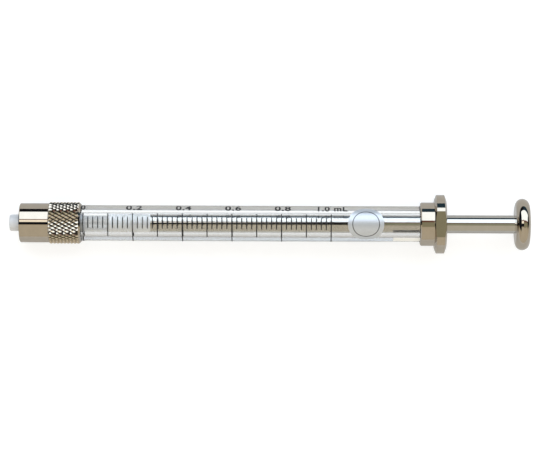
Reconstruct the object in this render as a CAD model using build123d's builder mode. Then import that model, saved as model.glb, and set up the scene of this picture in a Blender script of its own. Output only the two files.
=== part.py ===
from build123d import *

"""Gas-tight 1 mL microsyringe with a metal luer lock.

The axis of the syringe is X, the origin is on that axis at the luer tip's free end, and +X points at the
thumb button. +Z is up when the syringe lies on one of the two flats of its finger flange. Millimetres.
"""

import os
from math import pi, sqrt

# ---------------------------------------------------------------- sizes
# Measured volume
capacity = 1000.0  # mm3 swept between the first and the last graduation
stroke = 60.0  # length of the graduated scale
drawn_up = 6.0  # how far the plunger is drawn back at rest (0.1 mL)

# Glass barrel
barrel_od = 8.7
barrel_past_scale = 21.55  # bare glass between the last graduation and the finger flange
glass_edge = 0.2  # bevel ground on each rim

# Male luer cone, 6 per cent taper on the diameter
luer_tip_d = 3.93
luer_taper = 0.06
luer_stand_out = 2.55  # how far the cone stands out of the nose
luer_cone_length = 8.6  # to the straight shank that passes through the web
luer_bore_r = 0.6
luer_edge = 0.2  # bevel at the cone's free end
seat_flange_t = 2.1
plug_length = 6.05  # fills the bore up to the zero graduation
plug_edge = 0.2

# Lock collar: nose, web, knurled grip, and the socket for the glass
nose_wall = 0.775  # outside the lock thread's root
nose_length = 7.05
nose_chamfer = (0.2, 0.15)  # along the axis, across it
thread_length = 5.55
web_t = 1.8
grip_wall = 0.7  # outside the socket, to the knurl's crests
grip_length = 7.77
grip_front_bevel = 0.3
grip_rear_bevel = 0.5

# Diamond knurl of the grip
knurl_count = 34
knurl_pitch = 1.66  # along the axis
knurl_depth = 0.4

# Hollow of the lock thread inside the nose, at the thread's root
thread_root_r = 4.0
thread_mouth = 0.3  # lead-in bevel

# Finger flange
sleeve_wall = 0.875  # outside the socket
sleeve_length = 3.4
sleeve_chamfer = 0.28
rim_step = 1.85  # from the sleeve to the rim's round edge
rim_t = 2.88
rim_bevel = (0.46, 1.15)  # along the axis, across it
flat_step = 1.125  # from the sleeve to each of the two flats
lip_t = 0.48  # covers the end of the glass

# Plunger
tip_length = 10.2
rib_count = 6
rib_pitch = 1.02
rib_land = 0.34  # width of a rib's flat crest
rib_depth = 0.24
tip_shank_relief = 0.06
tip_edge = 0.12
stud_r = 1.0
stud_length = 7.6
stud_edge = 0.25
spigot_r = 1.25
spigot_length = 2.3
spigot_edge = 0.2

# Thumb button
button_d = 12.5
button_t = 3.44
button_stand_off = 10.77  # from the flange to the button when the plunger is at zero

# ---------------------------------------------------------------- clearances
cement_gap = 0.05  # between glass and metal, filled with cement
seal_gap = 0.02  # plunger ribs in the bore
rod_gap = 0.1035  # rod in the bore, which only the ribs touch
plug_gap = 0.05  # luer plug in the bore
shank_gap = 0.06  # luer shank in the collar's web
flange_gap = 0.1  # luer seat flange in the collar's socket
stop_gap = 0.05  # plunger face to luer plug at zero
lip_gap = 0.05  # glass end to the flange's lip
lip_over_bore = 0.2  # the flange's hole lets the plunger tip out
stud_gap = 0.04
stud_end_gap = 0.2
press_gap = 0.0  # the spigot fills the button's bore
spigot_end_gap = 0.15

# ---------------------------------------------------------------- worked-out sizes
bore_r = sqrt(capacity / stroke / pi)
barrel_r = barrel_od / 2
socket_r = barrel_r + cement_gap
nose_r = thread_root_r + nose_wall
grip_r = socket_r + grip_wall
sleeve_r = socket_r + sleeve_wall
rim_r = sleeve_r + rim_step
rim_flats = 2 * (sleeve_r + flat_step)
shank_r = luer_tip_d / 2 + luer_taper / 2 * luer_cone_length
rib_r = bore_r - seal_gap
groove_w = rib_pitch - rib_land
rod_r = bore_r - rod_gap
button_r = button_d / 2
button_rim_r = button_r - button_t / 2  # where the full-round edge starts

# ---------------------------------------------------------------- places along the axis
nose_front_x = luer_stand_out
grip_front_x = nose_front_x + nose_length
grip_rear_x = grip_front_x + grip_length
web_front_x = nose_front_x + thread_length
web_rear_x = web_front_x + web_t
glass_front_x = web_rear_x + seat_flange_t
plug_end_x = glass_front_x + plug_length
scale_zero_x = plug_end_x + stop_gap
sleeve_front_x = scale_zero_x + stroke + barrel_past_scale
rim_front_x = sleeve_front_x + sleeve_length
rim_rear_x = rim_front_x + rim_t
glass_rear_x = rim_rear_x - lip_t - lip_gap
tip_front_x = scale_zero_x + drawn_up
tip_rear_x = tip_front_x + tip_length
rod_rear_x = rim_rear_x + button_stand_off + drawn_up


def turning_outline(*points):
    """Return a closed outline, given as (x, radius) points, as a face to turn about the axis.

    Args:
        points: corners of the outline in order, all on one side of the axis.
    """
    with BuildSketch(Plane.XY) as profile:
        with BuildLine():
            Polyline(*points, close=True)
        make_face()
    return profile.sketch


def rims_at(piece, x, radius):
    """Return a piece's circular edges at one place along the axis.

    Args:
        piece: builder of the piece.
        x: place along the syringe's axis.
        radius: radius of the wanted edges.
    """
    rims = piece.edges().filter_by(GeomType.CIRCLE)
    return rims.filter_by(lambda e: abs(e.arc_center.X - x) < 1e-4 and abs(e.radius - radius) < 1e-4)


def twisted_bar(outline, x_start, length, turn):
    """Push an outline along the axis while it turns, and return the solid.

    Args:
        outline: face on the YZ plane at x_start.
        x_start: where the bar starts.
        length: length of the bar.
        turn: degrees turned over that length, positive for a right-hand twist.
    """
    return Solid.extrude_linear_with_rotation(outline, (x_start, 0, 0), (length, 0, 0), turn)


def star_outline(x, crest_r, root_r, count):
    """Return a star-shaped face across the axis, one point for each groove of a knurling wheel.

    Args:
        x: place along the axis.
        crest_r: radius at the points.
        root_r: radius between them.
        count: number of points.
    """
    corners = []
    for i in range(count):
        corners.append(Vector(crest_r, 0).rotate(Axis.Z, 360 * i / count))
        corners.append(Vector(root_r, 0).rotate(Axis.Z, 360 * (i + 0.5) / count))
    with BuildSketch(Plane.YZ.offset(x)) as star:
        with BuildLine():
            Polyline(*corners, close=True)
        make_face()
    return star.sketch.face()


# ---------------------------------------------------------------- glass barrel
with BuildPart() as glass_barrel:
    revolve(
        turning_outline(
            (glass_front_x, bore_r),
            (glass_rear_x, bore_r),
            (glass_rear_x, barrel_r),
            (glass_front_x, barrel_r),
        ),
        axis=Axis.X,
    )
    chamfer(glass_barrel.edges().filter_by(GeomType.CIRCLE), glass_edge)

# ---------------------------------------------------------------- luer tip
with BuildPart() as luer_tip:
    revolve(
        turning_outline(
            (0, luer_bore_r),
            (plug_end_x, luer_bore_r),
            (plug_end_x, bore_r - plug_gap),
            (glass_front_x, bore_r - plug_gap),
            (glass_front_x, socket_r - flange_gap),
            (web_rear_x, socket_r - flange_gap),
            (web_rear_x, shank_r),
            (luer_cone_length, shank_r),
            (0, luer_tip_d / 2),
        ),
        axis=Axis.X,
    )
    chamfer(rims_at(luer_tip, 0, luer_tip_d / 2), luer_edge)
    chamfer(rims_at(luer_tip, plug_end_x, bore_r - plug_gap), plug_edge)

# ---------------------------------------------------------------- lock collar
# The knurl is what two wheels leave: the metal that a right-hand and a left-hand twisted star share.
knurl_turn = 360 / knurl_count / knurl_pitch * grip_length
star = star_outline(grip_front_x, grip_r, grip_r - knurl_depth, knurl_count)
right_hand_teeth = twisted_bar(star, grip_front_x, grip_length, knurl_turn)
left_hand_teeth = twisted_bar(star, grip_front_x, grip_length, -knurl_turn)

with BuildPart() as knurled_grip:
    add(right_hand_teeth)
    add(left_hand_teeth, mode=Mode.INTERSECT)
    revolve(
        turning_outline(
            (grip_front_x, socket_r),
            (grip_front_x, grip_r - grip_front_bevel),
            (grip_front_x + grip_front_bevel, grip_r),
            (grip_rear_x - grip_rear_bevel, grip_r),
            (grip_rear_x, grip_r - grip_rear_bevel),
            (grip_rear_x, socket_r),
        ),
        axis=Axis.X,
        mode=Mode.INTERSECT,
    )

with BuildPart() as lock_collar:
    revolve(
        turning_outline(
            (nose_front_x, thread_root_r + thread_mouth),
            (nose_front_x, nose_r - nose_chamfer[1]),
            (nose_front_x + nose_chamfer[0], nose_r),
            (grip_front_x, nose_r),
            (grip_front_x, socket_r),
            (web_rear_x, socket_r),
            (web_rear_x, shank_r + shank_gap),
            (web_front_x, shank_r + shank_gap),
            (web_front_x, thread_root_r),
            (nose_front_x + thread_mouth, thread_root_r),
        ),
        axis=Axis.X,
    )
    add(knurled_grip.part)

# ---------------------------------------------------------------- finger flange, a disc with two flats on its sleeve
with BuildPart() as finger_flange:
    revolve(
        turning_outline(
            (sleeve_front_x, socket_r),
            (sleeve_front_x, sleeve_r),
            (rim_front_x, sleeve_r),
            (rim_front_x, rim_r - rim_bevel[1]),
            (rim_front_x + rim_bevel[0], rim_r),
            (rim_rear_x - rim_bevel[0], rim_r),
            (rim_rear_x, rim_r - rim_bevel[1]),
            (rim_rear_x, bore_r + lip_over_bore),
            (glass_rear_x + lip_gap, bore_r + lip_over_bore),
            (glass_rear_x + lip_gap, socket_r),
        ),
        axis=Axis.X,
    )
    chamfer(rims_at(finger_flange, sleeve_front_x, sleeve_r), sleeve_chamfer)
    with BuildSketch(Plane.YZ.offset(rim_front_x)):
        Rectangle(4 * rim_r, 4 * rim_r)
        Rectangle(4 * rim_r, rim_flats, mode=Mode.SUBTRACT)
    extrude(amount=rim_t, mode=Mode.SUBTRACT)

# ---------------------------------------------------------------- plunger rod
with BuildPart() as plunger_rod:
    revolve(
        turning_outline(
            (tip_rear_x - stud_length, 0),
            (tip_rear_x - stud_length, stud_r),
            (tip_rear_x, stud_r),
            (tip_rear_x, rod_r),
            (rod_rear_x, rod_r),
            (rod_rear_x, spigot_r),
            (rod_rear_x + spigot_length, spigot_r),
            (rod_rear_x + spigot_length, 0),
        ),
        axis=Axis.X,
    )
    chamfer(rims_at(plunger_rod, tip_rear_x - stud_length, stud_r), stud_edge)
    chamfer(rims_at(plunger_rod, rod_rear_x + spigot_length, spigot_r), spigot_edge)

# ---------------------------------------------------------------- plunger tip
with BuildPart() as plunger_tip:
    revolve(
        turning_outline(
            (tip_front_x, 0),
            (tip_front_x, rib_r),
            (tip_front_x + rib_count * rib_pitch, rib_r),
            (tip_front_x + rib_count * rib_pitch, rib_r - tip_shank_relief),
            (tip_rear_x, rib_r - tip_shank_relief),
            (tip_rear_x, stud_r + stud_gap),
            (tip_rear_x - stud_length - stud_end_gap, stud_r + stud_gap),
            (tip_rear_x - stud_length - stud_end_gap, 0),
        ),
        axis=Axis.X,
    )
    chamfer(rims_at(plunger_tip, tip_front_x, rib_r), tip_edge)
    for groove in range(rib_count - 1):
        groove_x = tip_front_x + rib_land + groove_w / 2 + groove * rib_pitch
        revolve(
            turning_outline(
                (groove_x - groove_w / 2, rib_r),
                (groove_x, rib_r - rib_depth),
                (groove_x + groove_w / 2, rib_r),
            ),
            axis=Axis.X,
            mode=Mode.SUBTRACT,
        )

# ---------------------------------------------------------------- thumb button
with BuildPart() as plunger_button:
    with BuildSketch(Plane.XY):
        with BuildLine():
            Polyline(
                (rod_rear_x, button_rim_r),
                (rod_rear_x, spigot_r + press_gap),
                (rod_rear_x + spigot_length + spigot_end_gap, spigot_r + press_gap),
                (rod_rear_x + spigot_length + spigot_end_gap, 0),
                (rod_rear_x + button_t, 0),
                (rod_rear_x + button_t, button_rim_r),
            )
            ThreePointArc(
                (rod_rear_x + button_t, button_rim_r),
                (rod_rear_x + button_t / 2, button_r),
                (rod_rear_x, button_rim_r),
            )
        make_face()
    revolve(axis=Axis.X)

# ---------------------------------------------------------------- export
os.makedirs("parts", exist_ok=True)
pieces = {
    "glass_barrel": glass_barrel,
    "lock_collar": lock_collar,
    "luer_tip": luer_tip,
    "finger_flange": finger_flange,
    "plunger_rod": plunger_rod,
    "plunger_tip": plunger_tip,
    "plunger_button": plunger_button,
}
for piece_name, piece in pieces.items():
    piece.part.label = piece_name
    export_step(piece.part, f"parts/{piece_name}.step")
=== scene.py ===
"""Looks of a gas-tight 1 mL microsyringe with a knurled metal luer lock.

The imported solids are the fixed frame. Most metal pieces and the PTFE ones keep their solids and get their finishes
here. The glass tube is made again with a finer round and the lock collar with a sharp knurl, and the printed scale,
the badge, the write-on patch and the ridges of the lock thread are added. X runs along the syringe from the luer
tip to the thumb button.
"""

import logging
import math
from collections.abc import Iterable
from dataclasses import dataclass
from enum import Enum

import bpy
from mathutils import Matrix, Vector


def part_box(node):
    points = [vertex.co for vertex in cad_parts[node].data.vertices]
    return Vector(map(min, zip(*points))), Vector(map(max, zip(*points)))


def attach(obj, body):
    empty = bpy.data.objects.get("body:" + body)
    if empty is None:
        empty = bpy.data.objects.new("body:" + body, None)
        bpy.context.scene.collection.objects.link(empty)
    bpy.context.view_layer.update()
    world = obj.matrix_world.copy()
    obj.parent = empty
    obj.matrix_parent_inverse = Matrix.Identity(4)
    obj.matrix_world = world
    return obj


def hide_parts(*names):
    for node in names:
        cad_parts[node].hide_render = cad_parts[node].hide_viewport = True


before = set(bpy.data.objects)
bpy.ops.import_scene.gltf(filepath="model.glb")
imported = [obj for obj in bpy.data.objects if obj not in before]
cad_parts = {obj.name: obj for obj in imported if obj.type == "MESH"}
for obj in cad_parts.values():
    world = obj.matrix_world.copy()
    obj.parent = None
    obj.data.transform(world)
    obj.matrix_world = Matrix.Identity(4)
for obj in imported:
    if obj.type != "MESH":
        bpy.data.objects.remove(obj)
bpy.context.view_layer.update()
LOG = logging.getLogger("microsyringe")
MM = 0.001
NEAR = 0.001 * MM  # points closer than this lie in the same place
Piece = bpy.types.Object
Material = bpy.types.Material
Node = bpy.types.Node
Nodes = bpy.types.NodeTree
Socket = bpy.types.NodeSocket
Colour = tuple[float, float, float]
Place = tuple[float, float, float]
Bands = tuple[tuple[float, Colour], ...]
Rings = list[tuple[float, tuple[float, float]]]
SOFT_BOX: Colour = (2.05, 2.3, 2.6)
LAMP: Colour = (1.95, 1.9, 1.75)
WALL: Colour = (0.76, 0.71, 0.60)
RUST: Colour = (0.40, 0.26, 0.22)
BROWN: Colour = (0.24, 0.10, 0.075)
DARK: Colour = (0.012, 0.014, 0.02)
NAVY: Colour = (0.03, 0.07, 0.11)


class Graduation(Enum):
    """Kinds of line on the scale: how far each runs round the glass, in degrees from the top."""

    MINOR = (21.0, -16.0)
    MEDIUM = (35.0, -47.0)
    MAJOR = (35.0, -121.0)


class Body(Enum):
    """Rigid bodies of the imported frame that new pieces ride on. The plunger's pieces are all packed ones."""

    BARREL = "barrel"


class Part(Enum):
    """Parts of a mesh that edit mode can select."""

    POINT = "VERT"
    EDGE = "EDGE"


class CollarFinish(Enum):
    """Finishes of the collar, by their place in its list of materials."""

    NOSE = 0
    KNURL = 1
    CEMENT = 2


# ---------------------------------------------------------------- node helpers
def new_material(name: str) -> tuple[Material, Nodes, Node]:
    """Make a node material and return it with its tree and its Principled shader.

    Args:
        name: name of the material.

    Returns:
        The material, its node tree and the Principled shader.
    """
    material = bpy.data.materials.new(name)
    material.use_nodes = True
    return material, material.node_tree, material.node_tree.nodes["Principled BSDF"]


def set_node(node: Node, **settings: object) -> None:
    """Set a node's properties and its unlinked inputs.

    Args:
        node: the node.
        settings: properties by name, and inputs by name with spaces as underscores.
    """
    for key, value in settings.items():
        if hasattr(node, key):
            setattr(node, key, value)
        else:
            node.inputs[key.replace("_", " ")].default_value = value


def add_node(tree: Nodes, kind: str, **settings: object) -> Node:
    """Add a node, set its properties and its unlinked inputs.

    Args:
        tree: tree that takes the node.
        kind: Blender's class name of the node.
        settings: what set_node takes.

    Returns:
        The new node.
    """
    node = tree.nodes.new(kind)
    set_node(node, **settings)
    return node


def set_ramp(ramp: bpy.types.ColorRamp, stops: Iterable[tuple[float, Colour]]) -> None:
    """Fill a colour ramp.

    Args:
        ramp: the ramp.
        stops: place from 0 to 1 and colour of each stop, in order.
    """
    while len(ramp.elements) > 1:
        ramp.elements.remove(ramp.elements[-1])
    for index, (place, colour) in enumerate(stops):
        element = ramp.elements[0] if index == 0 else ramp.elements.new(place)
        element.position = place
        element.color = (*colour, 1.0)


def shade(colour: Colour, share: float) -> Colour:
    """Return a colour darkened to a share of itself."""
    return tuple(part * share for part in colour)


# ---------------------------------------------------------------- finishes
@dataclass(frozen=True)
class Cloud:
    """Soft clouds in the colour of a finish."""

    scale: float
    detail: float
    spread: tuple[float, float]  # where in the noise the darker and the full colour lie
    roughness: float = 0.5

    def lay(self, tree: Nodes, shader: Node, darker: Colour, full: Colour) -> Node:
        """Cloud the base colour of a finish.

        Args:
            tree: its nodes.
            shader: its Principled shader.
            darker: colour in the depth of the clouds.
            full: colour between them.

        Returns:
            The noise, for what else follows the clouds.
        """
        place = add_node(tree, "ShaderNodeTexCoord")
        noise = add_node(tree, "ShaderNodeTexNoise", Scale=self.scale, Detail=self.detail, Roughness=self.roughness)
        tree.links.new(place.outputs["Object"], noise.inputs["Vector"])
        tint = add_node(tree, "ShaderNodeValToRGB")
        set_ramp(tint.color_ramp, zip(self.spread, (darker, full)))
        tree.links.new(noise.outputs["Fac"], tint.inputs["Fac"])
        tree.links.new(tint.outputs["Color"], shader.inputs["Base Color"])
        return noise


@dataclass(frozen=True)
class Lines:
    """Fine lines that the making left in a surface."""

    along: float  # how fine they are along the axis
    across: float  # how fine they are across it
    detail: float
    strength: float
    depth: float

    def cut(self, tree: Nodes, shader: Node) -> None:
        """Let the lines turn the light of a finish.

        Args:
            tree: its nodes.
            shader: its Principled shader.
        """
        place = add_node(tree, "ShaderNodeTexCoord")
        stretch = add_node(tree, "ShaderNodeMapping", Scale=(self.along, self.across, self.across))
        tree.links.new(place.outputs["Object"], stretch.inputs["Vector"])
        noise = add_node(tree, "ShaderNodeTexNoise", Scale=1.0, Detail=self.detail)
        tree.links.new(stretch.outputs["Vector"], noise.inputs["Vector"])
        bump = add_node(tree, "ShaderNodeBump", Strength=self.strength, Distance=self.depth)
        tree.links.new(noise.outputs["Fac"], bump.inputs["Height"])
        tree.links.new(bump.outputs["Normal"], shader.inputs["Normal"])


@dataclass(frozen=True)
class Plating:
    """Bright plating over turned metal: fine tool lines round the axis and a faint bloom."""

    name: str
    colour: Colour
    roughness: float = 0.09
    bloom: Cloud = Cloud(scale=420.0, detail=3.0, spread=(0.3, 0.7), roughness=0.55)
    bloom_shade: float = 0.93
    bloom_gloss: tuple[float, float] = (0.75, 1.3)  # times the roughness, at both ends of the bloom
    lines: Lines = Lines(along=9000.0, across=60.0, detail=2.0, strength=0.004, depth=0.2 * MM)

    def make(self) -> Material:
        """Return the finish as a material."""
        material, tree, shader = new_material(self.name)
        bloom = self.bloom.lay(tree, shader, shade(self.colour, self.bloom_shade), self.colour)
        sharp, dull = (self.roughness * times for times in self.bloom_gloss)
        gloss = add_node(tree, "ShaderNodeMapRange", To_Min=sharp, To_Max=dull)
        tree.links.new(bloom.outputs["Fac"], gloss.inputs["Value"])
        tree.links.new(gloss.outputs["Result"], shader.inputs["Roughness"])
        self.lines.cut(tree, shader)
        set_node(shader, Metallic=1.0)
        return material


@dataclass(frozen=True)
class KnurlPlatingAndShade:
    """Plating on a diamond knurl: rubbed and given a painted highlight on the points, dull and darkened with painted
    shade down in the grooves.
    """

    name: str
    crest_r: float
    root_r: float
    # colour on the points: rubbed wear and painted highlight
    bright: Colour = (0.72, 0.65, 0.53)
    middle: Colour = (0.50, 0.44, 0.36)
    # painted shade: the near black colour down in the grooves
    dark: Colour = (0.05, 0.042, 0.032)
    heights: tuple[float, float, float] = (0.9, 0.4, 0.17)  # of these three, from root to crest
    roughness: tuple[float, float] = (0.2, 0.06)  # in the grooves, on the points

    def make(self) -> Material:
        """Return the finish as a material."""
        material, tree, shader = new_material(self.name)
        place = add_node(tree, "ShaderNodeTexCoord")
        across = add_node(tree, "ShaderNodeMapping", Scale=(0.0, 1.0, 1.0))
        tree.links.new(place.outputs["Object"], across.inputs["Vector"])
        radius = add_node(tree, "ShaderNodeVectorMath", operation="LENGTH")
        tree.links.new(across.outputs["Vector"], radius.inputs[0])
        height = add_node(tree, "ShaderNodeMapRange", From_Min=self.root_r, From_Max=self.crest_r)
        tree.links.new(radius.outputs["Value"], height.inputs["Value"])
        tint = add_node(tree, "ShaderNodeValToRGB")
        set_ramp(tint.color_ramp, sorted(zip(self.heights, (self.bright, self.middle, self.dark))))
        tree.links.new(height.outputs["Result"], tint.inputs["Fac"])
        tree.links.new(tint.outputs["Color"], shader.inputs["Base Color"])
        gloss = add_node(tree, "ShaderNodeMapRange", To_Min=self.roughness[0], To_Max=self.roughness[1])
        tree.links.new(height.outputs["Result"], gloss.inputs["Value"])
        tree.links.new(gloss.outputs["Result"], shader.inputs["Roughness"])
        set_node(shader, Metallic=1.0)
        return material


@dataclass(frozen=True)
class ClearGlass:
    """Drawn borosilicate glass with no colour of its own."""

    name: str = "clear_glass"
    tint: Colour = (0.975, 0.98, 0.978)
    ior: float = 1.473
    waves: Lines = Lines(along=5.0, across=900.0, detail=1.0, strength=0.002, depth=0.1 * MM)

    def make(self) -> Material:
        """Return the finish as a material."""
        material, tree, shader = new_material(self.name)
        self.waves.cut(tree, shader)
        set_node(shader, Base_Color=(*self.tint, 1.0), Roughness=0.0, IOR=self.ior, Transmission_Weight=1.0)
        return material


@dataclass(frozen=True)
class Ptfe:
    """Turned PTFE: milky, waxy, a little translucent, with faint tool lines.

    Its glow is painted light: an emission that lights the tip in the bore, though the tip is no lamp.
    """

    name: str
    colour: Colour
    # painted light: emission strength on a part that is no lamp
    painted_glow: float = 0.0
    roughness: float = 0.38
    milkiness: float = 0.25
    milk_depth: float = 0.4 * MM
    cloud: Cloud = Cloud(scale=300.0, detail=4.0, spread=(0.25, 0.75))
    cloud_shade: float = 0.94
    lines: Lines = Lines(along=7000.0, across=80.0, detail=2.0, strength=0.15, depth=0.1 * MM)

    def make(self) -> Material:
        """Return the finish as a material."""
        material, tree, shader = new_material(self.name)
        self.cloud.lay(tree, shader, shade(self.colour, self.cloud_shade), self.colour)
        self.lines.cut(tree, shader)
        set_node(shader, Roughness=self.roughness, Emission_Color=(*self.colour, 1.0), Emission_Strength=self.painted_glow)
        milk = {"Subsurface_Radius": (1.0, 1.0, 1.0), "Subsurface_Scale": self.milk_depth}
        set_node(shader, Subsurface_Weight=self.milkiness, **milk)
        return material


@dataclass(frozen=True)
class Print:
    """A fired or stuck layer on the glass, plain in colour with a slightly uneven cover."""

    name: str
    colour: Colour
    roughness: float = 0.4
    metallic: float = 0.0
    unevenness: float = 0.12
    cover: Cloud = Cloud(scale=2600.0, detail=3.0, spread=(0.35, 0.65))

    def make(self) -> Material:
        """Return the finish as a material."""
        material, tree, shader = new_material(self.name)
        self.cover.lay(tree, shader, shade(self.colour, 1 - self.unevenness), self.colour)
        set_node(shader, Roughness=self.roughness, Metallic=self.metallic)
        return material


# ---------------------------------------------------------------- modelling helpers
def deselect() -> None:
    """Leave edit mode and deselect everything."""
    if bpy.context.mode != "OBJECT":
        bpy.ops.object.mode_set(mode="OBJECT")
    bpy.ops.object.select_all(action="DESELECT")


def pick(obj: Piece) -> None:
    """Make one object the only selected and active one.

    Args:
        obj: the object.
    """
    deselect()
    obj.select_set(True)
    bpy.context.view_layer.objects.active = obj


def settle(obj: Piece, name: str) -> Piece:
    """Name a new object and put its place, turn and size into its mesh.

    Args:
        obj: the object.
        name: its name from now on.

    Returns:
        The same object.
    """
    pick(obj)
    bpy.ops.object.transform_apply(location=True, rotation=True, scale=True)
    obj.name = name
    obj.data.name = name
    return obj


def point_out(obj: Piece) -> None:
    """Merge doubled points and turn the faces outwards.

    Args:
        obj: the object.
    """
    pick(obj)
    bpy.ops.object.mode_set(mode="EDIT")
    bpy.ops.mesh.select_all(action="SELECT")
    bpy.ops.mesh.remove_doubles(threshold=NEAR / 10)
    bpy.ops.mesh.normals_make_consistent(inside=False)
    bpy.ops.object.mode_set(mode="OBJECT")


def finish_piece(
    obj: Piece, body: Body, material: Material, smooth: float = 35.0
) -> Piece:
    """Shade a piece, give it its material, and let it ride on its body.

    Args:
        obj: the piece.
        body: body that it moves with.
        material: its finish.
        smooth: largest angle between faces that is shaded round, in degrees.

    Returns:
        The same object.
    """
    pick(obj)
    bpy.ops.object.shade_smooth_by_angle(angle=math.radians(smooth))
    obj.data.materials.clear()
    obj.data.materials.append(material)
    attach(obj, body.value)
    LOG.info("%s: %d faces", obj.name, len(obj.data.polygons))
    return obj


def dress(node: Piece, material: Material) -> None:
    """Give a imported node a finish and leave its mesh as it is.

    Args:
        node: the node's object.
        material: its finish.
    """
    if not node.material_slots:
        node.data.materials.append(material)
    for entry in node.material_slots:
        entry.link = "OBJECT"
        entry.material = material
    LOG.info("%s dressed in %s", node.name, material.name)


def lathe(name: str, outline: list[tuple[float, float]], sides: int) -> Piece:
    """Turn a closed outline about the X axis by extruding a ring from point to point.

    Args:
        name: name of the piece.
        outline: (x, radius) of each corner, in metres, all radii above zero.
        sides: sides of the round.

    Returns:
        The closed piece.
    """
    deselect()
    first_x, first_r = outline[0]
    bpy.ops.mesh.primitive_circle_add(
        vertices=sides, radius=first_r, fill_type="NOTHING", location=(first_x, 0, 0), rotation=(0, math.pi / 2, 0)
    )
    obj = settle(bpy.context.object, name)
    bpy.ops.object.mode_set(mode="EDIT")
    bpy.ops.mesh.select_all(action="SELECT")
    last_x, last_r = first_x, first_r
    for x, radius in outline[1:] + outline[:1]:
        bpy.ops.mesh.extrude_region_move(TRANSFORM_OT_translate={"value": (x - last_x, 0, 0)})
        grow = radius / last_r
        bpy.ops.transform.resize(value=(1, grow, grow), center_override=(x, 0, 0))
        last_x, last_r = x, radius
    bpy.ops.object.mode_set(mode="OBJECT")
    point_out(obj)
    return obj


def strip_round(
    name: str,
    x: float,
    width: float,
    radius: float,
    thick: float,
    turns: tuple[float, float],
    facet: float = 3.0,
) -> Piece:
    """Make a thin strip that runs round the X axis.

    Args:
        name: name of the piece.
        x: middle of the strip along the axis.
        width: width along the axis.
        radius: radius of its inner face.
        thick: thickness outwards.
        turns: where it starts and ends, in degrees from +Z towards +Y.
        facet: degrees that one of its flats covers.

    Returns:
        The closed strip.
    """
    deselect()
    bpy.ops.mesh.primitive_plane_add(size=1, location=(0, 0, 0))
    obj = bpy.context.object
    obj.scale = (width, thick, 1)
    settle(obj, name)
    start, end = (math.radians(a) for a in turns)
    lift = Matrix.Rotation(math.pi / 2, 4, "X")
    out = Matrix.Translation((x, 0, radius + thick / 2))
    # the plane stands across the round, at its start
    obj.data.transform(Matrix.Rotation(-start, 4, "X") @ out @ lift)
    bpy.ops.object.mode_set(mode="EDIT")
    bpy.ops.mesh.select_all(action="SELECT")
    steps = max(2, int(abs(end - start) / math.radians(facet)))
    bpy.ops.mesh.spin(steps=steps, angle=end - start, center=(0, 0, 0), axis=(1, 0, 0))
    bpy.ops.object.mode_set(mode="OBJECT")
    return obj


def wrap(obj: Piece, radius: float, turn: float) -> None:
    """Lay a flat piece, drawn in the XY plane, round the X axis.

    Args:
        obj: piece whose Y runs round the tube and whose Z stands out of it.
        radius: radius of the tube.
        turn: degrees from +Z towards +Y at which its Y = 0 line lies.
    """
    for vertex in obj.data.vertices:
        angle = vertex.co.y / radius + math.radians(turn)
        reach = radius + vertex.co.z
        vertex.co = Vector((vertex.co.x, reach * math.sin(angle), reach * math.cos(angle)))
    obj.data.update()


def cut_across(obj: Piece, low: float, high: float, cuts: int) -> None:
    """Cut a flat piece along lines of equal Y, so that it can follow a round.

    Args:
        obj: the piece.
        low: lowest Y of the piece.
        high: highest Y of the piece.
        cuts: number of cuts.
    """
    pick(obj)
    bpy.ops.object.mode_set(mode="EDIT")
    for cut in range(1, cuts + 1):
        bpy.ops.mesh.select_all(action="SELECT")
        y = low + (high - low) * cut / (cuts + 1)
        bpy.ops.mesh.bisect(plane_co=(0, y, 0), plane_no=(0, 1, 0))
    bpy.ops.object.mode_set(mode="OBJECT")


def select_parts(obj: Piece, indices: Iterable[int], kind: Part = Part.POINT) -> None:
    """Select only the given points or edges of a mesh, and go into edit mode.

    Args:
        obj: the piece.
        indices: its points or edges.
        kind: which of the two.
    """
    bpy.ops.object.mode_set(mode="EDIT")
    bpy.ops.mesh.select_mode(type=kind.value)
    bpy.ops.mesh.select_all(action="DESELECT")
    bpy.ops.object.mode_set(mode="OBJECT")
    parts = obj.data.edges if kind is Part.EDGE else obj.data.vertices
    for index in indices:
        parts[index].select = True
    bpy.ops.object.mode_set(mode="EDIT")


# ---------------------------------------------------------------- the syringe
@dataclass(frozen=True)
class Sizes:
    """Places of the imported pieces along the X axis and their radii, read from the frame, in metres."""

    glass_start: float
    glass_end: float
    glass_r: float
    bore_r: float
    plug_end: float
    nose_front: float
    collar_end: float
    grip_r: float

    @classmethod
    def from_frame(cls, bore_gap: float = 0.02 * MM) -> "Sizes":
        """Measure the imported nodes.

        Args:
            bore_gap: gap between the plunger's tip and the bore.

        Returns:
            The sizes.
        """
        glass_low, glass_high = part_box("glass_barrel")
        collar_low, collar_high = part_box("lock_collar")
        return cls(
            glass_start=glass_low.x,
            glass_end=glass_high.x,
            glass_r=glass_high.z,
            bore_r=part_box("plunger_tip")[1].z + bore_gap,
            plug_end=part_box("luer_tip")[1].x,
            nose_front=collar_low.x,
            collar_end=collar_high.x,
            grip_r=collar_high.z,
        )


@dataclass
class GlassTube:
    """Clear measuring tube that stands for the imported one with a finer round."""

    sizes: Sizes
    edge: float = 0.2 * MM
    sides: int = 192

    def build(self) -> Piece:
        """Return the finished tube."""
        s = self.sizes
        bore_edge = s.bore_r + self.edge / 2
        outline = [
            (s.glass_start, bore_edge),
            (s.glass_start, s.glass_r - self.edge),
            (s.glass_start + self.edge, s.glass_r),
            (s.glass_end - self.edge, s.glass_r),
            (s.glass_end, s.glass_r - self.edge),
            (s.glass_end, bore_edge),
            (s.glass_end - self.edge / 2, s.bore_r),
            (s.glass_start + self.edge / 2, s.bore_r),
        ]
        tube = lathe("glass_tube", outline, self.sides)
        finish_piece(tube, Body.BARREL, ClearGlass().make(), smooth=30.0)
        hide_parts("glass_barrel")
        return tube


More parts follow.
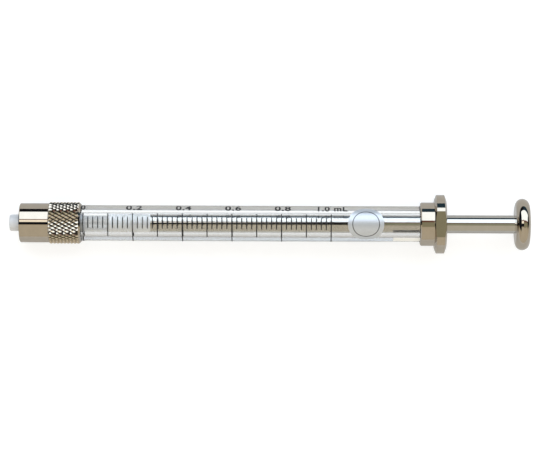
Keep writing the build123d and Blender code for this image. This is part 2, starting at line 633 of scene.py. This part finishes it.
@dataclass
class PrintedScale:
    """Ticks and numbers fired on the glass, with the round badge and the write-on patch."""

    sizes: Sizes
    stop_gap: float = 0.05 * MM
    step: float = 1.2 * MM
    count: int = 51
    medium_every: int = 5
    major_every: int = 10
    line_width: float = 0.26 * MM
    ink_thick: float = 0.012 * MM
    number_angle: float = 60.5
    skew: float = -3.8  # degrees that the print turns round the glass over its length
    number_height: float = 2.05 * MM
    number_cuts: int = 8
    # What each number says, the place of its middle from the zero line, and its width.
    labels: tuple[tuple[str, float, float], ...] = (
        ("0", -0.1 * MM, 1.22 * MM),
        ("0.2", 12.27 * MM, 3.97 * MM),
        ("0.4", 24.24 * MM, 3.75 * MM),
        ("0.6", 36.25 * MM, 3.9 * MM),
        ("0.8", 48.28 * MM, 3.9 * MM),
        ("1.0 mL", 60.35 * MM, 7.2 * MM),
    )
    badge_x: float = 86.5 * MM
    badge_r: float = 4.36 * MM
    badge_turn: float = -0.8
    badge_cuts: int = 40
    film_thick: float = 0.03 * MM
    ring: tuple[float, float] = (0.72, 0.76)  # inner and outer radius of the badge's ring, over the badge's
    patch_ends: tuple[float, float] = (93.1 * MM, 99.6 * MM)
    patch_turns: tuple[float, float] = (-48.6, -71.0)
    patch_thick: float = 0.015 * MM

    def build(self) -> list[Piece]:
        """Return the print as finished pieces."""
        ink = Print("black_ink", (0.012, 0.012, 0.014), roughness=0.45, unevenness=0.5).make()
        return [self.ticks(ink), *self.numbers(ink), *self.badge(ink), self.patch()]

    def kind(self, index: int) -> Graduation:
        """Return the kind of the line at an index."""
        if index % self.major_every == 0:
            return Graduation.MAJOR
        return Graduation.MINOR if index % self.medium_every else Graduation.MEDIUM

    def zero_x(self) -> float:
        """Return the place of the zero line along the axis."""
        return self.sizes.plug_end + self.stop_gap

    def askew(self, along: float) -> Matrix:
        """Return how far the print has turned round the axis at a distance from the zero line."""
        return Matrix.Rotation(math.radians(-self.skew) * along / (self.step * (self.count - 1)), 4, "X")

    def ticks(self, ink: Material) -> Piece:
        """Return all the lines as one piece, each kind modelled once and copied."""
        originals = {
            kind: strip_round(
                f"line_{kind.name.lower()}", 0.0, self.line_width, self.sizes.glass_r, self.ink_thick, kind.value
            )
            for kind in Graduation
        }
        copies = []
        for index in range(self.count):
            original = originals[self.kind(index)]
            copy = original.copy()
            copy.data = original.data.copy()
            along = index * self.step
            copy.data.transform(self.askew(along) @ Matrix.Translation((self.zero_x() + along, 0, 0)))
            bpy.context.collection.objects.link(copy)
            copies.append(copy)
        for original in originals.values():
            bpy.data.objects.remove(original)
        deselect()
        for copy in copies:
            copy.select_set(True)
        bpy.context.view_layer.objects.active = copies[0]
        bpy.ops.object.join()
        scale = settle(bpy.context.object, "scale_lines")
        point_out(scale)
        return finish_piece(scale, Body.BARREL, ink)

    def numbers(self, ink: Material) -> list[Piece]:
        """Return the numbers of the scale."""
        made = []
        for text, along, width in self.labels:
            name = "number_" + text.replace(".", "_").replace(" ", "_")
            obj = flat_text(name, text, self.number_height, width, self.ink_thick)
            cut_across(obj, -self.number_height / 2, self.number_height / 2, self.number_cuts)
            obj.data.transform(Matrix.Translation((self.zero_x() + along, 0, 0)))
            wrap(obj, self.sizes.glass_r, self.number_angle)
            obj.data.transform(self.askew(along))
            point_out(obj)
            made.append(finish_piece(obj, Body.BARREL, ink, smooth=20.0))
        return made

    def badge(self, ink: Material) -> list[Piece]:
        """Return the round silvery badge with a plain ring."""
        film = Print("silver_film", (0.62, 0.645, 0.68), roughness=0.38, metallic=0.6, unevenness=0.05).make()
        disc = flat_ring("badge", 0.0, self.badge_r, self.film_thick)
        self.lay_badge(disc, self.sizes.glass_r, film)
        inner, outer = (self.badge_r * share for share in self.ring)
        ring = flat_ring("badge_ring", inner, outer, self.ink_thick)
        self.lay_badge(ring, self.sizes.glass_r + self.film_thick, ink)
        return [disc, ring]

    def lay_badge(self, obj: Piece, radius: float, material: Material) -> None:
        """Lay a flat round piece on the glass, where the badge sits.

        Args:
            obj: the piece.
            radius: radius of what it lies on.
            material: its finish.
        """
        cut_across(obj, -self.badge_r, self.badge_r, self.badge_cuts)
        obj.data.transform(Matrix.Translation((self.badge_x, 0, 0)))
        wrap(obj, radius, self.badge_turn)
        point_out(obj)
        finish_piece(obj, Body.BARREL, material, smooth=30.0)

    def patch(self) -> Piece:
        """Return the white patch that can be written on."""
        start, end = self.patch_ends
        strip = strip_round(
            "write_on_patch", (start + end) / 2, end - start, self.sizes.glass_r, self.patch_thick, self.patch_turns
        )
        point_out(strip)
        white = Print("white_enamel", (0.98, 0.98, 0.96), roughness=0.5, unevenness=0.03).make()
        return finish_piece(strip, Body.BARREL, white)


def flat_text(name: str, text: str, height: float, width: float, thick: float) -> Piece:
    """Make a text in bold plain letters as a thin flat mesh, centred at the origin in the XY plane.

    Args:
        name: name of the piece.
        text: what it says.
        height: its height.
        width: its width.
        thick: its thickness in Z, from zero up.

    Returns:
        The mesh object.
    """
    font_size, swell, spacing, curve_points = 1.4 * height, 0.04 * height, 1.1, 6
    deselect()
    bpy.ops.object.text_add(location=(0, 0, 0))
    letters = bpy.context.object.data
    letters.body = text
    letters.size = font_size
    letters.extrude = thick / 2
    letters.resolution_u = curve_points
    letters.space_character = spacing
    letters.offset = swell
    bpy.ops.object.convert(target="MESH")
    obj = settle(bpy.context.object, name)
    places = list(zip(*(vertex.co for vertex in obj.data.vertices)))
    low, high = (Vector([pick_end(axis) for axis in places]) for pick_end in (min, max))
    middle = (low + high) / 2
    grow = Matrix.Diagonal((width / (high.x - low.x), height / (high.y - low.y), thick / (high.z - low.z), 1))
    obj.data.transform(grow @ Matrix.Translation((-middle.x, -middle.y, -low.z)))
    return obj


def flat_ring(name: str, inner: float, outer: float, thick: float, sides: int = 96) -> Piece:
    """Make a thin flat disc or ring, centred at the origin in the XY plane.

    Args:
        name: name of the piece.
        inner: radius of its hole, or zero.
        outer: its radius.
        thick: its thickness in Z, from zero up.
        sides: sides of its round.

    Returns:
        The mesh object.
    """
    deselect()
    fill = "NOTHING" if inner else "NGON"
    bpy.ops.mesh.primitive_circle_add(vertices=sides, radius=outer, fill_type=fill, location=(0, 0, 0))
    obj = settle(bpy.context.object, name)
    bpy.ops.object.mode_set(mode="EDIT")
    bpy.ops.mesh.select_all(action="SELECT")
    if inner:
        bpy.ops.mesh.extrude_region_move()
        grow = inner / outer
        bpy.ops.transform.resize(value=(grow, grow, 1), center_override=(0, 0, 0))
        bpy.ops.mesh.select_all(action="SELECT")
    bpy.ops.mesh.extrude_region_move(TRANSFORM_OT_translate={"value": (0, 0, thick)})
    bpy.ops.object.mode_set(mode="OBJECT")
    point_out(obj)
    return obj


@dataclass
class LockCollar:
    """Metal nose and knurled grip in one piece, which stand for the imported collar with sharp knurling."""

    sizes: Sizes
    nose_r: float = 4.775 * MM
    nose_length: float = 7.05 * MM
    nose_chamfer: tuple[float, float] = (0.2 * MM, 0.15 * MM)
    thread_root_r: float = 4.0 * MM
    thread_mouth: float = 0.3 * MM
    web_start: float = 8.1 * MM
    web_end: float = 9.9 * MM
    web_hole_r: float = 2.283 * MM
    socket_r: float = 4.4 * MM
    knurl_count: int = 34
    knurl_pitch: float = 1.66 * MM
    knurl_depth: float = 0.4 * MM
    saddle: float = 0.4  # share of the depth that the shallower grooves leave standing
    slant: float = 0.1  # least share of a pitch, and of a column, that a slanting groove crosses
    first_row: float = 0.45 * MM  # from the front of the grip to its first row of whole points
    front_bevel: float = 0.3 * MM
    rear_bevel: float = 0.5 * MM
    last_row: float = 0.1 * MM  # how far the knurl reaches into the rear bevel
    knurl_edge: float = 0.2 * MM  # how far below the nose's radius a face of the knurl may lie

    def build(self, metal: Material, cement: Material) -> Piece:
        """Return the finished collar.

        Args:
            metal: finish of the nose.
            cement: finish of the socket's wall.

        Returns:
            The collar.
        """
        s = self.sizes
        start = s.nose_front + self.nose_length
        rings = self.rings(s.collar_end - start)
        outline = [
            (s.nose_front, self.thread_root_r + self.thread_mouth),
            (s.nose_front, self.nose_r - self.nose_chamfer[1]),
            (s.nose_front + self.nose_chamfer[0], self.nose_r),
            (start, self.nose_r),
        ]
        outline += [(start + along, min(radii)) for along, radii in rings]
        outline += [
            (s.collar_end, s.grip_r - self.rear_bevel),
            (s.collar_end, self.socket_r),
            (self.web_end, self.socket_r),
            (self.web_end, self.web_hole_r),
            (self.web_start, self.web_hole_r),
            (self.web_start, self.thread_root_r),
            (s.nose_front + self.thread_mouth, self.thread_root_r),
        ]
        collar = lathe("knurled_lock_collar", outline, 2 * self.knurl_count)
        self.raise_knurl(collar, start, rings)
        finish_piece(collar, Body.BARREL, metal, smooth=20.0)
        # the knurl's plating paints shade in the grooves and highlights on the points
        knurl = KnurlPlatingAndShade("knurl_plate_and_painted_shade", s.grip_r, s.grip_r - self.knurl_depth).make()
        for material in (knurl, cement):
            collar.data.materials.append(material)
        for face in collar.data.polygons:
            face.material_index = self.finish_of(face, start, start + rings[-1][0]).value
        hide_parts("lock_collar")
        return collar

    def finish_of(self, face: bpy.types.MeshPolygon, knurl_start: float, knurl_end: float) -> CollarFinish:
        """Tell which finish a face of the collar has.

        Args:
            face: the face.
            knurl_start: place along the axis where the knurl starts.
            knurl_end: place where it ends.

        Returns:
            The finish.
        """
        reach = face.center.yz.length
        upright = abs(face.normal.x) > 0.1
        if reach < self.socket_r + 10 * NEAR and self.web_end < face.center.x and not upright:
            return CollarFinish.CEMENT
        if self.nose_r - self.knurl_edge < reach and knurl_start < face.center.x < knurl_end:
            return CollarFinish.KNURL
        return CollarFinish.NOSE

    def rings(self, length: float) -> Rings:
        """Work out the rings of the knurl.

        Args:
            length: length of the grip.

        Returns:
            How far along the grip each ring lies, and its radius at even and at odd points.
        """
        row_step = self.knurl_pitch / 2
        last = length - self.rear_bevel + self.last_row
        places = [self.front_bevel / 2]
        while places[-1] + row_step < last or len(places) == 1:
            places.append(self.first_row + row_step * (len(places) - 1))
        places.append(last)
        found = []
        for along in places:
            bevel = max(0.0, self.front_bevel - along, along - length + self.rear_bevel)
            sunk = [self.knurl_depth * (1 - abs(1 - ((along - self.first_row) / row_step + odd) % 2)) for odd in (0, 1)]
            found.append((along, tuple(self.sizes.grip_r - max(bevel, depth) for depth in sunk)))
        return found

    def raise_knurl(self, collar: Piece, start: float, rings: Rings) -> None:
        """Crease the grooves between the points of the grip, and pull every second point out to its crest.

        Args:
            collar: the turned collar.
            start: front of the grip.
            rings: the knurl's rings.
        """
        pick(collar)
        low_points = []
        high_points = []
        for along, radii in rings:
            high = int(radii[1] > radii[0])
            raised = []
            for vertex in collar.data.vertices:
                outside = abs(vertex.co.yz.length - min(radii)) < NEAR
                if not outside or abs(vertex.co.x - start - along) > NEAR:
                    continue
                column = round(math.atan2(vertex.co.y, vertex.co.z) / (math.pi / self.knurl_count))
                (raised if column % 2 == high else low_points).append(vertex.index)
            high_points.append((max(radii) / min(radii), raised))
        select_parts(collar, low_points)
        bpy.ops.mesh.vert_connect()
        for grow, raised in high_points:
            select_parts(collar, raised)
            bpy.ops.transform.resize(value=(1, grow, grow), center_override=(0, 0, 0))
        bpy.ops.object.mode_set(mode="OBJECT")
        self.fill_saddles(collar, set(low_points))

    def fill_saddles(self, collar: Piece, low_points: set[int]) -> None:
        """Cut one hand of the grooves less deep than the other, so that the points stand in slanting rows.

        Args:
            collar: the turned collar, with its points raised.
            low_points: points of the mesh that lie in the grooves.
        """
        points = collar.data.vertices
        before = len(points)
        crossing = []
        for edge in collar.data.edges:
            if not low_points.issuperset(edge.vertices):
                continue
            front, back = sorted((points[i].co for i in edge.vertices), key=lambda place: place.x)
            turn = math.atan2(back.y * front.z - back.z * front.y, back.y * front.y + back.z * front.z)
            if back.x - front.x > self.slant * self.knurl_pitch and turn > self.slant * math.pi / self.knurl_count:
                crossing.append(edge.index)
        select_parts(collar, crossing, Part.EDGE)
        bpy.ops.mesh.subdivide(number_cuts=1)
        bpy.ops.object.mode_set(mode="OBJECT")
        select_parts(collar, range(before, len(collar.data.vertices)))
        grow = 1 + self.saddle * self.knurl_depth / (self.sizes.grip_r - self.knurl_depth)
        bpy.ops.transform.resize(value=(1, grow, grow), center_override=(0, 0, 0))
        bpy.ops.object.mode_set(mode="OBJECT")


@dataclass
class LockThread:
    """Two ridges of the lock thread inside the mouth of the collar."""

    sizes: Sizes
    root_r: float = 4.0 * MM
    crest_r: float = 3.5 * MM
    root_half: float = 0.55 * MM
    crest_half: float = 0.18 * MM
    lead: float = 5.0 * MM
    length: float = 5.2 * MM
    end_gap: float = 0.25 * MM
    sink: float = 0.02 * MM  # how far the ridges reach into the wall
    starts: int = 2
    steps_per_turn: int = 64

    def ridge(self, name: str, start_angle: float) -> Piece:
        """Return one ridge, screwed from its section.

        Args:
            name: name of the ridge.
            start_angle: degrees from +Z at which it starts.

        Returns:
            The closed ridge.
        """
        deselect()
        bpy.ops.mesh.primitive_plane_add(size=1, location=(0, 0, 0))
        obj = settle(bpy.context.object, name)
        front = self.sizes.nose_front + self.root_half + self.end_gap
        section = [
            (front - self.root_half, self.root_r + self.sink),
            (front + self.root_half, self.root_r + self.sink),
            (front - self.crest_half, self.crest_r),
            (front + self.crest_half, self.crest_r),
        ]
        for vertex, (x, radius) in zip(obj.data.vertices, section):
            vertex.co = Vector((x, 0, radius))
        obj.data.transform(Matrix.Rotation(math.radians(start_angle), 4, "X"))
        travel = self.length - 2 * self.root_half - 2 * self.end_gap
        turns = travel / self.lead
        steps = int(self.steps_per_turn * turns)
        bpy.ops.object.mode_set(mode="EDIT")
        bpy.ops.mesh.select_all(action="SELECT")
        for _ in range(steps):
            bpy.ops.mesh.extrude_region_move(TRANSFORM_OT_translate={"value": (travel / steps, 0, 0)})
            bpy.ops.transform.rotate(value=-2 * math.pi * turns / steps, orient_axis="X", center_override=(0, 0, 0))
        bpy.ops.object.mode_set(mode="OBJECT")
        point_out(obj)
        return obj

    def build(self, metal: Material) -> list[Piece]:
        """Return the finished ridges."""
        ridges = []
        for start in range(self.starts):
            ridge = self.ridge(f"lock_thread_{start + 1}", 360.0 * start / self.starts)
            ridges.append(finish_piece(ridge, Body.BARREL, metal, smooth=40.0))
        return ridges


# ---------------------------------------------------------------- the studio
@dataclass
class Studio:
    """Pale table, soft light all round and the camera above."""

    table_points: tuple[tuple[float, float], ...] = ((9.9 * MM, -5.1 * MM), (103.3 * MM, -6.4 * MM))
    table_size: float = 3.0
    table_grain: Cloud = Cloud(scale=60.0, detail=2.0, spread=(0.3, 0.7))
    table_colours: tuple[Colour, Colour] = ((0.39, 0.39, 0.385), (0.41, 0.41, 0.405))
    table_roughness: float = 0.8
    table_glow: tuple[float, float] = (0.30, 0.71)  # as a light on the syringe, and as seen directly
    # Glow of the table as the glass shows it, with painted light and shade: place across the table, glow. The lamp side
    # has a painted pool of light, and the strip under the barrel a painted shadow.
    painted_light_through_glass: tuple[tuple[float, float], ...] = (
        (-20 * MM, 0.36),
        (-6 * MM, 0.34),
        (-3.2 * MM, 0.15),
        (-1.8 * MM, 0.18),
        (-1.2 * MM, 0.30),
        (1.2 * MM, 0.30),
        (1.8 * MM, 0.15),
        (3.5 * MM, 0.12),
        (5 * MM, 0.80),
        (9 * MM, 0.80),
        (13 * MM, 0.30),
    )
    glow_reach: float = 20 * MM
    fill_place: Place = (0.07, -0.32, 0.42)
    fill_size: float = 0.35
    fill_energy: float = 0.6
    aim: Place = (63.26 * MM, -0.333 * MM, 0.0)
    eye: Place = (71.28 * MM, -0.333 * MM, 583.1 * MM)
    roll: float = 0.209  # degrees
    lens: float = 160.0
    sensor: float = 36.0
    sight: tuple[float, float] = (0.01, 10.0)  # nearest and farthest that the camera sees
    # Bands of the surroundings by turn round the X axis: degrees from +Z towards +Y, colour. The first three
    # lists hold from the luer tip to the thumb button, the last past the soft box's ends.
    near_tip: Bands = (
        (-90.0, WALL),
        (-14.0, (0.78, 0.72, 0.60)),
        (-10.5, (0.50, 0.42, 0.32)),
        (-8.5, DARK),
        (4.0, DARK),
        (6.0, LAMP),
        (15.5, LAMP),
        (17.0, RUST),
        (20.5, RUST),
        (22.5, SOFT_BOX),
        (67.5, SOFT_BOX),
        (68.5, DARK),
        (90.0, DARK),
    )
    near_middle: Bands = (
        (-90.0, WALL),
        (-13.0, (0.76, 0.70, 0.57)),
        (-10.0, (0.30, 0.27, 0.21)),
        (-8.5, DARK),
        (16.0, DARK),
        (18.0, (0.20, 0.08, 0.06)),
        (21.0, SOFT_BOX),
        (67.5, SOFT_BOX),
        (68.5, NAVY),
        (90.0, NAVY),
    )
    near_button: Bands = (
        (-90.0, WALL),
        (-17.0, (0.76, 0.69, 0.56)),
        (-13.0, (0.44, 0.42, 0.30)),
        (9.0, (0.40, 0.40, 0.29)),
        (12.0, BROWN),
        (18.0, BROWN),
        (20.5, SOFT_BOX),
        (67.5, SOFT_BOX),
        (68.5, NAVY),
        (90.0, NAVY),
    )
    past_ends: Bands = (
        (-90.0, WALL),
        (-40.0, (0.66, 0.60, 0.48)),
        (-26.0, DARK),
        (90.0, DARK),
    )
    soft_box_ends: tuple[float, float] = (-36.0, 60.0)  # degrees towards +X
    end_half: float = 1.5  # half of the span over which the soft box fades out at each end
    tip_to_middle: tuple[float, float] = (-4.5, 0.3)  # degrees towards +X
    middle_to_button: tuple[float, float] = (1.1, 1.9)

    def build(self) -> None:
        """Make the table, the light and the camera."""
        self.table()
        self.surroundings()
        self.fill_light()
        self.camera()

    def table(self) -> Piece:
        """Return the pale table on which the syringe lies."""
        (x1, z1), (x2, z2) = self.table_points
        slope = math.atan2(z2 - z1, x2 - x1)
        deselect()
        middle = ((x1 + x2) / 2, 0, (z1 + z2) / 2)
        bpy.ops.mesh.primitive_plane_add(size=self.table_size, location=middle, rotation=(0, -slope, 0))
        obj = settle(bpy.context.object, "table")
        obj.data.materials.append(self.table_finish())
        return obj

    def table_finish(self) -> Material:
        """Return the table's finish: an even glow as a pale table under even light has, and as the glass shows it, a
        painted shadow under the barrel and a painted pool of light on the lamp side.
        """
        material, tree, shader = new_material("pale_table")
        self.table_grain.lay(tree, shader, *self.table_colours)
        set_node(shader, Roughness=self.table_roughness, Emission_Color=(1.0, 1.0, 1.0, 1.0))
        path = add_node(tree, "ShaderNodeLightPath")
        lift = add_node(tree, "ShaderNodeMapRange", To_Min=self.table_glow[0], To_Max=self.table_glow[1])
        tree.links.new(path.outputs["Is Camera Ray"], lift.inputs["Value"])
        place = add_node(tree, "ShaderNodeTexCoord")
        across = add_node(tree, "ShaderNodeSeparateXYZ")
        tree.links.new(place.outputs["Object"], across.inputs["Vector"])
        reach = self.glow_reach
        share = add_node(tree, "ShaderNodeMapRange", From_Min=-reach, From_Max=reach)
        tree.links.new(across.outputs["Y"], share.inputs["Value"])
        # painted light and shade on the table, for rays through the glass
        painted_light_ramp = add_node(tree, "ShaderNodeValToRGB")
        set_ramp(painted_light_ramp.color_ramp, [((y + reach) / (2 * reach), (painted_glow,) * 3) for y, painted_glow in self.painted_light_through_glass])
        tree.links.new(share.outputs["Result"], painted_light_ramp.inputs["Fac"])
        either = add_node(tree, "ShaderNodeMix", data_type="FLOAT")
        tree.links.new(path.outputs["Is Transmission Ray"], either.inputs[0])
        tree.links.new(lift.outputs["Result"], either.inputs[2])
        tree.links.new(painted_light_ramp.outputs["Color"], either.inputs[3])
        tree.links.new(either.outputs[0], shader.inputs["Emission Strength"])
        return material

    def surroundings(self) -> None:
        """Fill the world with the studio's soft boxes and dark gaps, all as bands round the X axis."""
        world = bpy.data.worlds.new("studio")
        bpy.context.scene.world = world
        world.use_nodes = True
        tree = world.node_tree
        out = tree.nodes["World Output"]
        base = tree.nodes["Background"]
        direction = add_node(tree, "ShaderNodeTexCoord")
        split = add_node(tree, "ShaderNodeSeparateXYZ")
        tree.links.new(direction.outputs["Generated"], split.inputs["Vector"])
        turn = add_node(tree, "ShaderNodeMath", operation="ARCTAN2")
        tree.links.new(split.outputs["Y"], turn.inputs[0])
        tree.links.new(split.outputs["Z"], turn.inputs[1])
        part = add_node(tree, "ShaderNodeMapRange", From_Min=-math.pi / 2, From_Max=math.pi / 2)
        tree.links.new(turn.outputs["Value"], part.inputs["Value"])
        tip, middle, button, ends = (
            self.band_ramp(tree, part.outputs["Result"], bands)
            for bands in (self.near_tip, self.near_middle, self.near_button, self.past_ends)
        )
        low, high = ((end - self.end_half, end + self.end_half) for end in self.soft_box_ends)
        along = split.outputs["X"]
        colour = self.blend_along(tree, along, self.tip_to_middle, tip, middle)
        colour = self.blend_along(tree, along, self.middle_to_button, colour, button)
        colour = self.blend_along(tree, along, low, ends, colour)
        colour = self.blend_along(tree, along, high, colour, ends)
        tree.links.new(colour, base.inputs["Color"])
        backdrop = add_node(tree, "ShaderNodeBackground", Color=(1.0, 1.0, 1.0, 1.0), Strength=1.0)
        path = add_node(tree, "ShaderNodeLightPath")
        mix = add_node(tree, "ShaderNodeMixShader")
        tree.links.new(path.outputs["Is Camera Ray"], mix.inputs["Fac"])
        tree.links.new(base.outputs["Background"], mix.inputs[1])
        tree.links.new(backdrop.outputs["Background"], mix.inputs[2])
        tree.links.new(mix.outputs["Shader"], out.inputs["Surface"])

    def fill_light(self) -> None:
        """Hang a wide soft light on the side across from the soft box, which lifts the shadows and makes no glint."""
        data = bpy.data.lights.new("fill", "AREA")
        data.shape = "DISK"
        data.size = self.fill_size
        data.energy = self.fill_energy
        obj = bpy.data.objects.new("fill", data)
        bpy.context.scene.collection.objects.link(obj)
        place, aim = Vector(self.fill_place), Vector(self.aim)
        obj.matrix_world = Matrix.Translation(place) @ (aim - place).to_track_quat("-Z", "Y").to_matrix().to_4x4()
        obj.visible_glossy = False
        obj.visible_camera = False
        obj.visible_transmission = False

    @staticmethod
    def band_ramp(tree: Nodes, place: Socket, bands: Bands) -> Socket:
        """Colour the surroundings by one list of bands.

        Args:
            tree: the world's nodes.
            place: turn round the X axis, from 0 at -90 degrees to 1 at 90 degrees.
            bands: the list.

        Returns:
            The colour.
        """
        ramp = add_node(tree, "ShaderNodeValToRGB")
        set_ramp(ramp.color_ramp, [((angle + 90.0) / 180.0, colour) for angle, colour in bands])
        tree.links.new(place, ramp.inputs["Fac"])
        return ramp.outputs["Color"]

    @staticmethod
    def blend_along(tree: Nodes, along: Socket, span: tuple[float, float], before: Socket, after: Socket) -> Socket:
        """Blend two colours as the direction leans towards +X.

        Args:
            tree: the world's nodes.
            along: X of the direction.
            span: lean at which the change starts and ends, in degrees.
            before: colour below the span.
            after: colour above it.

        Returns:
            The blended colour.
        """
        start, end = (math.sin(math.radians(lean)) for lean in span)
        share = add_node(tree, "ShaderNodeMapRange", From_Min=start, From_Max=end)
        tree.links.new(along, share.inputs["Value"])
        mix = add_node(tree, "ShaderNodeMix", data_type="RGBA")
        tree.links.new(share.outputs["Result"], mix.inputs["Factor"])
        tree.links.new(before, mix.inputs[6])
        tree.links.new(after, mix.inputs[7])
        return mix.outputs[2]

    def camera(self) -> None:
        """Set the camera above the syringe."""
        data = bpy.data.cameras.new("camera")
        data.lens = self.lens
        data.sensor_width = self.sensor
        data.clip_start, data.clip_end = self.sight
        obj = bpy.data.objects.new("camera", data)
        bpy.context.scene.collection.objects.link(obj)
        eye, aim = Vector(self.eye), Vector(self.aim)
        back = (eye - aim).normalized()
        roll = math.radians(self.roll)
        right = Vector((math.cos(roll), math.sin(roll), 0))
        right = (right - back * right.dot(back)).normalized()
        up = back.cross(right)
        obj.matrix_world = Matrix.Translation(eye) @ Matrix((right, up, back)).transposed().to_4x4()
        bpy.context.scene.camera = obj
        bpy.context.scene.view_settings.view_transform = "Standard"


def main() -> None:
    """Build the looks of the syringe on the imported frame."""
    logging.basicConfig(level=logging.INFO, format="%(message)s")
    frame_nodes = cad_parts
    sizes = Sizes.from_frame()
    nickel = Plating("nickel_plate", (0.50, 0.44, 0.36), roughness=0.06).make()
    steel = Plating("rod_steel", (0.52, 0.50, 0.46), roughness=0.05).make()
    # the plunger tip's glow is painted light
    tip_white = Ptfe("plunger_ptfe_painted_glow", (0.97, 0.98, 0.99), painted_glow=0.13).make()
    # the luer's PTFE is a darker copy of the PTFE white, as painted shade
    luer_shaded_white = Ptfe("luer_ptfe_painted_shade", (0.74, 0.745, 0.755)).make()
    cement = Print("pale_cement", (0.75, 0.73, 0.68), roughness=0.7).make()
    LockCollar(sizes).build(nickel, cement)
    for name in ("finger_flange", "plunger_button"):
        dress(frame_nodes[name], nickel)
    dress(frame_nodes["plunger_rod"], steel)
    dress(frame_nodes["luer_tip"], luer_shaded_white)
    dress(frame_nodes["plunger_tip"], tip_white)
    GlassTube(sizes).build()
    PrintedScale(sizes).build()
    LockThread(sizes).build(nickel)
    Studio().build()


if __name__ == "__main__":
    main()
